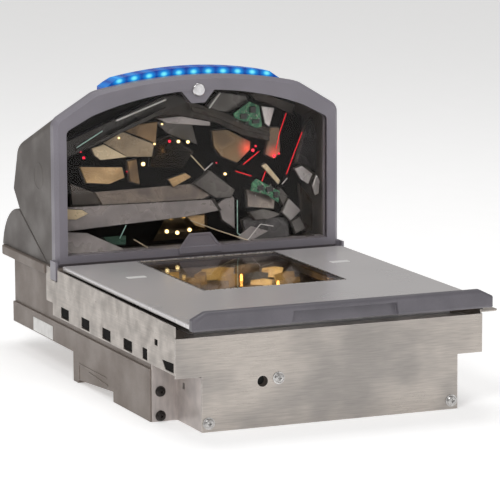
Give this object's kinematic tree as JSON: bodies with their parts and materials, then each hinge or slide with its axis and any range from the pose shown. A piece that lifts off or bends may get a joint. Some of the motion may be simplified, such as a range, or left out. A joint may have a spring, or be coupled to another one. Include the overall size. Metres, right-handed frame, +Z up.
{
  "type": "in-counter scanner scale",
  "caption": "In-counter checkout scanner and scale with a flat weighing platter, an upright scan window in a tower, a lit status bar and an open slotted mounting frame.",
  "frame": {"origin": "underside of the lower pan, on the left-right mid plane, 253 mm behind the front of the lip", "axes": "+Z up, +X the operator's right, +Y away from the operator towards the tower"},
  "size_m": [0.3194, 0.506, 0.2846],
  "materials": {
    "bezel_grey": "light grey satin plastic",
    "board_green": "solder mask",
    "bracket_sheet": "galvanised satin",
    "brass_barrel": "turned",
    "button_black": "moulded",
    "button_silver": "metallised plastic",
    "cell_alloy": "machined",
    "chip_black": "moulded",
    "cover_grey": "dark warm grey, fine grain",
    "frame_alloy": "die cast",
    "housing_cast": "painted cast, fine texture",
    "inner_black": "matte black",
    "label_blank": "blank polyester label",
    "led_white": "lit",
    "light_blue": "translucent blue",
    "mirror_coat": "front silvered, warm coat",
    "motor_steel": "plain",
    "pad_rubber": "matte",
    "panel_steel": "brushed along its length",
    "platter_steel": "fine satin, semi gloss",
    "screw_black": "black oxide",
    "screw_zinc": "zinc plated",
    "window_glass": "clear coated"
  },
  "bodies": {
    "scanner": {"board_parts": "chip_black", "board_standoffs": "screw_zinc", "calibration_switch": "chip_black", "corner_bracket_left": "bracket_sheet", "corner_bracket_right": "bracket_sheet", "corner_screws": "screw_black", "counter_rim": "housing_cast", "cradle_floor": "inner_black", "deck_glass": "window_glass", "front_panel": "panel_steel", "front_panel_screws": "screw_zinc", "imager_board_side": "board_green", "imager_board_top": "board_green", "io_panel": "panel_steel", "io_sockets": "chip_black", "label_plate": "label_blank", "laser_modules": "brass_barrel", "led_board": "board_green", "leds": "led_white", "light_bar": "light_blue", "load_cell_left": "cell_alloy", "load_cell_right": "cell_alloy", "lower_pan": "housing_cast", "main_board": "board_green", "mirror_deck_front": "mirror_coat", "mirror_deck_left": "mirror_coat", "mirror_deck_right": "mirror_coat", "mirror_holders": "inner_black", "mirror_tower_left": "mirror_coat", "mirror_tower_low": "mirror_coat", "mirror_tower_mid_left": "mirror_coat", "mirror_tower_mid_right": "mirror_coat", "mirror_tower_right": "mirror_coat", "optics_frame": "inner_black", "power_inlet": "chip_black", "rear_lower_cover": "cover_grey", "side_bracket_left": "bracket_sheet", "side_bracket_right": "bracket_sheet", "sill_tab": "bezel_grey", "speaker": "chip_black", "spinner_motor": "motor_steel", "top_switch": "chip_black", "tower_bezel": "bezel_grey", "tower_glass": "window_glass", "tower_rear_cover": "cover_grey", "tower_side_left": "cover_grey", "tower_side_right": "cover_grey", "upper_housing": "housing_cast"},
    "weigh_carrier": {"weigh_frame": "frame_alloy", "weigh_pads": "pad_rubber"},
    "platter_set": {"platter": "platter_steel", "platter_lip": "bezel_grey", "platter_glass": "window_glass", "glass_carrier": "inner_black"},
    "tone_button": {"top_button": "button_silver"},
    "calibration_button": {"calibration_button": "button_black"},
    "spinner": {"polygon_mirror": "mirror_coat"}
  },
  "joints": [
    {"name": "weigh_travel", "type": "slide", "parent": "scanner", "child": "weigh_carrier", "axis": [0, 0, 1], "range_m": [-0.0005, 0], "stiffness_N_per_m": 200000},
    {"name": "platter_lift", "type": "slide", "parent": "weigh_carrier", "child": "platter_set", "axis": [0, 0, 1], "range_m": [0, 0.06]},
    {"name": "tone_button_press", "type": "slide", "parent": "scanner", "child": "tone_button", "axis": [0, 1, 0], "range_m": [0, 0.0012], "stiffness_N_per_m": 300},
    {"name": "calibration_button_press", "type": "slide", "parent": "scanner", "child": "calibration_button", "axis": [0, 1, 0], "range_m": [0, 0.002], "stiffness_N_per_m": 300},
    {"name": "spinner_spin", "type": "hinge", "parent": "scanner", "child": "spinner", "pos_m": [0, 0.128, 0.062], "axis": [0, 0, 1], "continuous": true}
  ]
}
